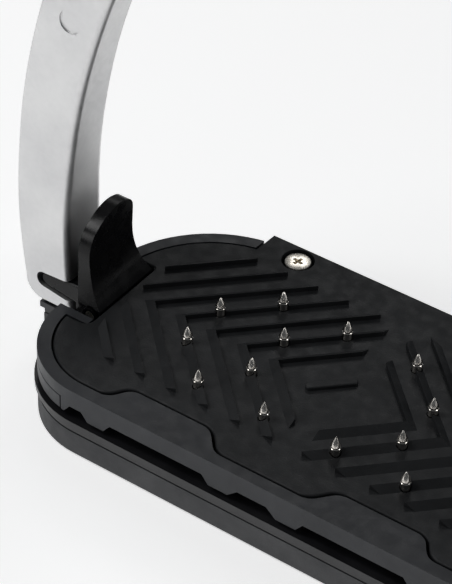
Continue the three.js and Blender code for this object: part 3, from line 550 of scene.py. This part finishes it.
# Arch: outline of one half, given depth, mirrored
arch = {
    "legInner": 66.7,
    "legOuter": 80.4,
    "footBottom": 10.05,
    "footRound": 5.5,
    "centreHeight": 72.05,
    "innerSweep": 177,
    "innerWaist": 31.05,
    "outerSweep": 170,
    "outerWaist": 39.05,
    "edge": 1.5,
    "footHalf": 6.4,
    "waistHalf": 5.6,
    "crownHalf": 4.8,
    "slotHalf": 15,
    "slotHeight": 9,
    "slotWeb": 4,
    "bar": 10,
    "cheek": 7,
    "flare": 7,
    "eyeRound": 9,
    "sliceStep": 3,
    "footTaper": 26,
    "crownTaper": 40,
}
hingeSpec = {"angle": 34, "knuckle": 4.6, "gap": 0.3, "tang": 2.1, "pin": 2.0}


def smoothStep(value, low, high):
    t = min(1, max(0, (value - low) / (high - low)))
    return t * t * (3 - 2 * t)


def halfDepth(z):
    taper = smoothStep(z, arch["innerWaist"], arch["innerWaist"] + arch["footTaper"])
    lower = arch["footHalf"] + (arch["waistHalf"] - arch["footHalf"]) * taper
    top = arch["centreHeight"] + arch["crownTaper"] / 2
    return lower + (arch["crownHalf"] - lower) * smoothStep(z, top - arch["crownTaper"], top)


def crownRadius(sweep, leg, waist):
    return sweep - math.hypot(sweep - leg, arch["centreHeight"] - waist)


def halfArch(bm, depth):
    # the wire of the right half seen from the front, filled
    a = arch
    back = (0, -1, 0)
    outerR = crownRadius(a["outerSweep"], a["legOuter"], a["outerWaist"])
    innerCentre = a["legInner"] - a["innerSweep"]
    outerCentre = a["legOuter"] - a["outerSweep"]
    innerTangent = math.degrees(math.atan2(a["centreHeight"] - a["innerWaist"], -innerCentre))
    outerTangent = math.degrees(math.atan2(a["centreHeight"] - a["outerWaist"], -outerCentre))
    innerFoot = math.asin((a["footBottom"] - a["innerWaist"]) / a["innerSweep"])
    outerFoot = math.asin((a["footBottom"] + a["footRound"] - a["outerWaist"]) / a["outerSweep"])
    neckHalf = a["slotHalf"] + a["cheek"]
    neckAngle = math.acos((neckHalf + a["flare"]) / outerR)
    slotLow = a["centreHeight"] + outerR + a["slotWeb"]
    slotTop = slotLow + a["slotHeight"]
    eyeTop = slotTop + a["bar"]
    slotR = a["slotHeight"] / 2
    slotEnd = a["slotHalf"] - slotR
    footX = outerCentre + a["outerSweep"] * math.cos(outerFoot)
    neck = (outerR * math.cos(neckAngle), depth, a["centreHeight"] + outerR * math.sin(neckAngle))
    bend = (neckHalf, depth, (neck[2] + slotLow) / 2)
    startX = innerCentre + a["innerSweep"] * math.cos(innerFoot)
    tip = bm.verts.new((startX * mm, depth * mm, a["footBottom"] * mm))
    innerSwing = innerTangent - math.degrees(innerFoot)
    tip = arcTo(bm, tip, (innerCentre, depth, a["innerWaist"]), innerSwing, 26, back)
    tip = arcTo(bm, tip, (0, depth, a["centreHeight"]), 90 - innerTangent, 36, back)
    tip.co.x = 0
    tip = lineTo(bm, tip, (0, depth, slotLow))
    tip = lineTo(bm, tip, (slotEnd, depth, slotLow))
    tip = arcTo(bm, tip, (slotEnd, depth, slotLow + slotR), 180, 20, back)
    tip = lineTo(bm, tip, (0, depth, slotTop))
    tip = lineTo(bm, tip, (0, depth, eyeTop))
    tip = lineTo(bm, tip, (neckHalf - a["eyeRound"], depth, eyeTop))
    tip = arcTo(bm, tip, (neckHalf - a["eyeRound"], depth, eyeTop - a["eyeRound"]), -90, 10, back)
    tip = lineTo(bm, tip, bend)
    tip = lineTo(bm, tip, neck)
    tip = arcTo(bm, tip, (0, depth, a["centreHeight"]), outerTangent - math.degrees(neckAngle), 26, back)
    tip = arcTo(bm, tip, (outerCentre, depth, a["outerWaist"]), math.degrees(outerFoot) - outerTangent, 26, back)
    foot = (footX, depth, a["footBottom"])
    lineTo(bm, tip, foot)
    reach = math.dist(bend, neck) - 0.2
    return closedFace(bm, [(foot, a["footRound"] - 0.6), (bend, reach)])


def archSolid():
    bm = bmesh.new()
    half = arch["crownHalf"]
    thickened(bm, halfArch(bm, -half), (0, 2 * half, 0))
    onMiddle = lambda edge: all(abs(v.co.x) < 1e-6 for v in edge.verts)
    rimEdges = []
    for edge in bm.edges:
        flat = abs(edge.verts[0].co.y - edge.verts[1].co.y) < 1e-7
        if flat and not onMiddle(edge):
            rimEdges.append(edge)
    bmesh.ops.bevel(
        bm, geom=rimEdges, affect="EDGES", offset=arch["edge"] * mm, segments=5, profile=0.5, material=-1, clamp_overlap=True
    )
    height = arch["footBottom"] + arch["sliceStep"]
    while height < arch["centreHeight"] + 22:
        geom = bm.verts[:] + bm.edges[:] + bm.faces[:]
        bmesh.ops.bisect_plane(bm, geom=geom, dist=1e-7, plane_co=(0, 0, height * mm), plane_no=(0, 0, 1))
        height += arch["sliceStep"]
    for v in bm.verts:
        v.co.y *= halfDepth(v.co.z / mm) / arch["crownHalf"]
    middle = [f for f in bm.faces if all(abs(v.co.x) < 1e-6 for v in f.verts)]
    bmesh.ops.delete(bm, geom=middle, context="FACES_ONLY")
    bmesh.ops.mirror(bm, geom=bm.verts[:] + bm.edges[:] + bm.faces[:], merge_dist=1e-6, axis="X")
    bmesh.ops.recalc_face_normals(bm, faces=bm.faces)
    return bm


hingeX, hingeZ = [(p + q) / 2 / mm for p, q in zip(*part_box("branch_pin"))][::2]
outwards = Vector((-math.cos(math.radians(hingeSpec["angle"])), 0, math.sin(math.radians(hingeSpec["angle"]))))
upArch = Vector((math.sin(math.radians(hingeSpec["angle"])), 0, math.cos(math.radians(hingeSpec["angle"]))))


def hingeBlock(t0, t1, s0, s1, deep):
    bm = block((t0, -deep, s0), (t1, deep, s1))
    turn = Matrix((outwards, Vector((0, 1, 0)), upArch)).transposed()
    bmesh.ops.transform(bm, matrix=turn.to_4x4(), verts=bm.verts)
    bmesh.ops.translate(bm, vec=(hingeX * mm, 0, hingeZ * mm), verts=bm.verts)
    bmesh.ops.recalc_face_normals(bm, faces=bm.faces)
    return bm


def leftOf(cut):
    side = hingeBlock(-150, 60, -190, cut, 20)
    return appliedSolid("side", side, [block((-120, -25, -40), (-legThird, 25, hingeZ + 13))], "INTERSECT")


legThird = arch["legInner"] / 3
disc = lambda radius, low, high: roundBar(hingeX, hingeZ, radius, low, high, 72)
cut = hingeSpec["knuckle"] + hingeSpec["gap"]
tangSlot = hingeSpec["tang"] + hingeSpec["gap"]

crown = appliedSolid("crown", archSolid(), [leftOf(hingeSpec["gap"] / 2), disc(cut, -tangSlot, tangSlot)])
for low, high in ((tangSlot, arch["crownHalf"]), (-arch["crownHalf"], -tangSlot)):
    crown = appliedSolid("crown", crown, [disc(hingeSpec["knuckle"], low, high)], "UNION")
crown = appliedSolid(
    "crown", crown, [hingeBlock(0, 12, 0, cut, tangSlot), disc(hingeSpec["pin"] + hingeSpec["gap"], -20, 20)]
)
lugSpan = {"low": (52.5, -5, 7.9), "high": (69.7, 5, 10.9)}  # foot of the fixed leg, bolted to the base
lug = block(lugSpan["low"], lugSpan["high"])
crown = appliedSolid("crown", crown, [lug], "UNION")
weighted(finishPiece("archCrownFine", crown, "arch_crown", smooth=32))

branch = appliedSolid("branch", archSolid(), [leftOf(-hingeSpec["gap"] / 2)], "INTERSECT")
branch = appliedSolid("branch", branch, [disc(cut, -20, 20), hingeBlock(0, 12, -cut, cut, 20)])
neck = hingeBlock(-hingeSpec["knuckle"], hingeSpec["knuckle"] - 0.6, -1.5 * cut, 0, hingeSpec["tang"])
knuckle = disc(hingeSpec["knuckle"], -hingeSpec["tang"], hingeSpec["tang"])
branch = appliedSolid("branch", branch, [neck, knuckle], "UNION")
hook = {
    "mouth": -64.4,
    "end": -75.0,
    "floor": 14.95,
    "height": 3.5,
    "flare": 1.7,
    "topFlare": 0.6,
    "round": 1.6,
    "deep": 14,
}


def hookSlot():
    bm = bmesh.new()
    top = hook["floor"] + hook["height"]
    deep = -hook["deep"]
    tip = bm.verts.new((hook["mouth"] * mm, deep * mm, (hook["floor"] - hook["flare"]) * mm))
    tip = lineTo(bm, tip, (hook["mouth"], deep, top + hook["topFlare"]))
    tip = lineTo(bm, tip, (hook["end"], deep, top))
    lineTo(bm, tip, (hook["end"], deep, hook["floor"]))
    corners = [((hook["end"], deep, z), hook["round"]) for z in (top, hook["floor"])]
    thickened(bm, closedFace(bm, corners), (0, 2 * hook["deep"], 0))
    return bm


roundel = {"place": (-65.8, 85.0), "radius": 2.7, "face": -4.6}
x, z = roundel["place"]
dimple = roundBar(x, z, roundel["radius"], -8, roundel["face"])
branch = appliedSolid("branch", branch, [disc(hingeSpec["pin"] + hingeSpec["gap"], -20, 20), hookSlot(), dimple])
weighted(finishPiece("releaseBranchFine", branch, "release_branch", smooth=32))
print("arch and branch shaped")


# Floor, light, camera
floor = {"size": 6.0, "color": (0.93, 0.93, 0.93), "glow": 0.58}
bm = bmesh.new()
bmesh.ops.create_grid(bm, x_segments=1, y_segments=1, size=floor["size"])
floorMesh = bpy.data.meshes.new("floor")
bm.to_mesh(floorMesh)
bm.free()
floorPiece = bpy.data.objects.new("floor", floorMesh)
bpy.context.scene.collection.objects.link(floorPiece)
floorMaterial, floorShader = newMaterial("floorPaint", floor["color"], 0.9, specular=0.1)
floorShader.inputs["Emission Color"].default_value = (*floor["color"], 1)
floorShader.inputs["Emission Strength"].default_value = floor["glow"]
floorMesh.materials.append(floorMaterial)

studio = {"seen": (0.93, 0.935, 0.94), "seenStrength": 0.95, "around": (0.9, 0.95, 1.0), "aroundStrength": 0.08}
world = bpy.data.worlds.new("studio")
bpy.context.scene.world = world
world.use_nodes = True
tree = world.node_tree
around = tree.nodes["Background"]
around.inputs["Color"].default_value = (*studio["around"], 1)
around.inputs["Strength"].default_value = studio["aroundStrength"]
seen = tree.nodes.new("ShaderNodeBackground")
seen.inputs["Color"].default_value = (*studio["seen"], 1)
seen.inputs["Strength"].default_value = studio["seenStrength"]
rays = tree.nodes.new("ShaderNodeLightPath")
either = tree.nodes.new("ShaderNodeMixShader")
tree.links.new(rays.outputs["Is Camera Ray"], either.inputs["Fac"])
tree.links.new(around.outputs["Background"], either.inputs[1])
tree.links.new(seen.outputs["Background"], either.inputs[2])
tree.links.new(either.outputs["Shader"], tree.nodes["World Output"].inputs["Surface"])

lights = {
    "key": {"place": (-0.5, -0.35, 0.9), "size": 0.35, "power": 2.6},
    "rear": {"place": (-0.40, 0.72, 0.66), "size": 0.28, "power": 0.8},
    "left": {"place": (-0.54, -0.61, 0.38), "size": 0.3, "power": 1.1},
    "right": {"place": (0.78, 0.26, 0.38), "size": 0.3, "power": 1.1},
}
for name, spec in lights.items():
    data = bpy.data.lights.new(name, "AREA")
    data.size = spec["size"]
    data.energy = spec["power"]
    light = bpy.data.objects.new(name, data)
    bpy.context.scene.collection.objects.link(light)
    light.location = spec["place"]
    light.rotation_euler = (-Vector(spec["place"])).to_track_quat("-Z", "Y").to_euler()

cameraSetup = {
    "place": (0.17159, -0.30239, 0.32932),
    "azimuth": 33.62,
    "elevation": 39.45,
    "roll": 2.15,
    "lens": 139.2,
}
cameraData = bpy.data.cameras.new("camera")
cameraData.lens = cameraSetup["lens"]
cameraData.sensor_width = 36
cameraData.clip_start = 0.01
camera = bpy.data.objects.new("camera", cameraData)
bpy.context.scene.collection.objects.link(camera)
turn = (
    Matrix.Rotation(math.radians(cameraSetup["azimuth"]), 4, "Z")
    @ Matrix.Rotation(math.radians(90 - cameraSetup["elevation"]), 4, "X")
    @ Matrix.Rotation(math.radians(cameraSetup["roll"]), 4, "Z")
)
camera.matrix_world = Matrix.Translation(cameraSetup["place"]) @ turn
bpy.context.scene.camera = camera
bpy.context.scene.view_settings.view_transform = "Standard"
print("stage set")
